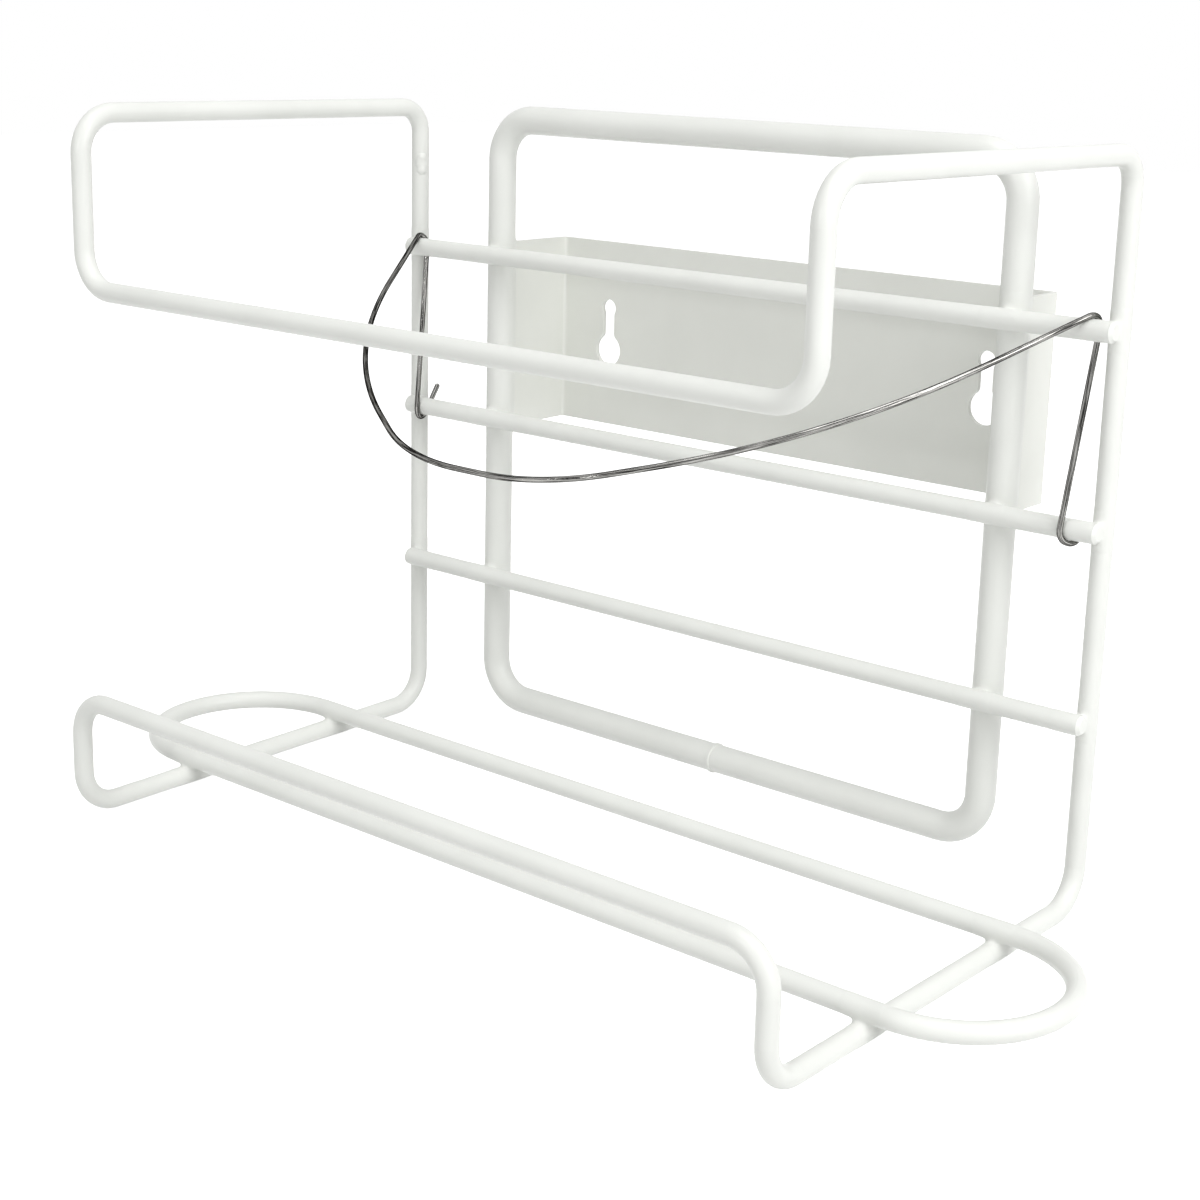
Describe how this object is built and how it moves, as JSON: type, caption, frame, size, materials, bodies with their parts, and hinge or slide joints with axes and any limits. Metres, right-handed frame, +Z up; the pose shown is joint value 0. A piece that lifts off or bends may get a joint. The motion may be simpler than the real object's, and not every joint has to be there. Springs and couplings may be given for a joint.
{
  "type": "disposable glove dispenser",
  "caption": "Wall-mounted wire rack that holds one carton of disposable gloves, with a folded keyhole bracket behind and a sprung wire bow that presses the carton forward.",
  "frame": {"origin": "centre of the wall bracket's back face", "axes": "+X across the rack, +Y out of the back into the wall, +Z up"},
  "size_m": [0.3236, 0.1716, 0.2056],
  "materials": {
    "white_coating": "satin",
    "white_sheet": "gloss",
    "spring_steel": "polished"
  },
  "bodies": {
    "rack": {"cradle_frame": "white_coating", "back_loop": "white_coating", "top_crossbar": "white_coating", "middle_crossbar": "white_coating", "bottom_crossbar": "white_coating", "base_oval": "white_coating", "wall_bracket": "white_sheet"},
    "bow": {"retaining_spring": "spring_steel"}
  },
  "joints": [
    {"name": "bow_swing", "type": "hinge", "parent": "rack", "child": "bow", "pos_m": [-0.002, -0.0351, 0.0255], "axis": [1, 0, 0], "range_deg": [0, 60], "stiffness_Nm_per_rad": 0.05, "deforming": ["retaining_spring"]}
  ]
}
